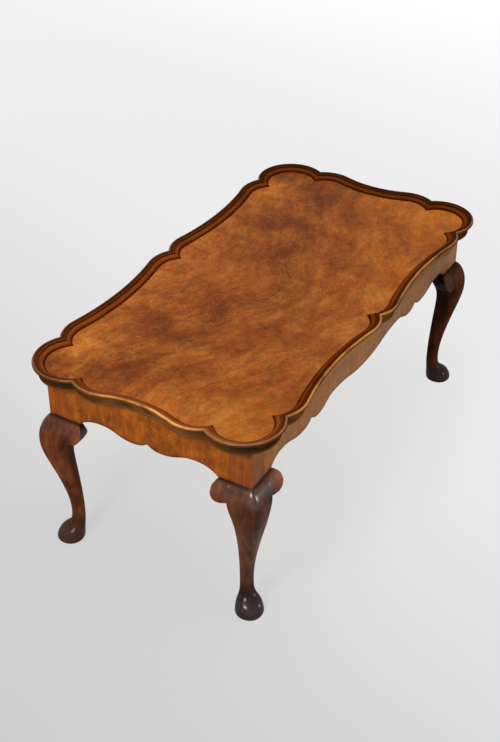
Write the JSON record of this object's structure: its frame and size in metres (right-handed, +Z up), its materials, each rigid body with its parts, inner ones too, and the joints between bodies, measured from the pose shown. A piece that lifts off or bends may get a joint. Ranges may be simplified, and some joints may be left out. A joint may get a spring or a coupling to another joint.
{
  "type": "tray top tea table",
  "caption": "Low rectangular tea table with a scalloped raised tray rim, shaped aprons and cabriole legs on pad feet.",
  "frame": {"origin": "on the floor under the middle of the table top", "axes": "+X along the table, +Y across it to the back, +Z up"},
  "size_m": [0.85, 0.446, 0.374],
  "materials": {
    "field_walnut": "polished figured walnut veneer",
    "rim_walnut": "dark polished walnut, worn paler on the edges",
    "apron_walnut": "polished walnut veneer with upright grain",
    "leg_walnut": "dark polished walnut",
    "carcase_pine": "unpolished softwood"
  },
  "bodies": {
    "root": {"apron_veneer_back": "apron_walnut", "apron_veneer_front": "apron_walnut", "apron_veneer_left": "apron_walnut", "apron_veneer_right": "apron_walnut", "ear_back_left_end": "leg_walnut", "ear_back_left_long": "leg_walnut", "ear_back_right_end": "leg_walnut", "ear_back_right_long": "leg_walnut", "ear_front_left_end": "leg_walnut", "ear_front_left_long": "leg_walnut", "ear_front_right_end": "leg_walnut", "ear_front_right_long": "leg_walnut", "field_veneer": "field_walnut", "glue_block_back_1": "carcase_pine", "glue_block_back_2": "carcase_pine", "glue_block_back_3": "carcase_pine", "glue_block_front_1": "carcase_pine", "glue_block_front_2": "carcase_pine", "glue_block_front_3": "carcase_pine", "glue_block_left_1": "carcase_pine", "glue_block_right_1": "carcase_pine", "leg_back_left": "leg_walnut", "leg_back_right": "leg_walnut", "leg_front_left": "leg_walnut", "leg_front_right": "leg_walnut", "rail_back": "carcase_pine", "rail_front": "carcase_pine", "rail_left": "carcase_pine", "rail_right": "carcase_pine", "rim_back_left_half": "rim_walnut", "rim_back_right_half": "rim_walnut", "rim_corner_back_left": "rim_walnut", "rim_corner_back_right": "rim_walnut", "rim_corner_front_left": "rim_walnut", "rim_corner_front_right": "rim_walnut", "rim_front_left_half": "rim_walnut", "rim_front_right_half": "rim_walnut", "rim_left_end": "rim_walnut", "rim_right_end": "rim_walnut", "top_panel": "carcase_pine"}
  },
  "joints": []
}
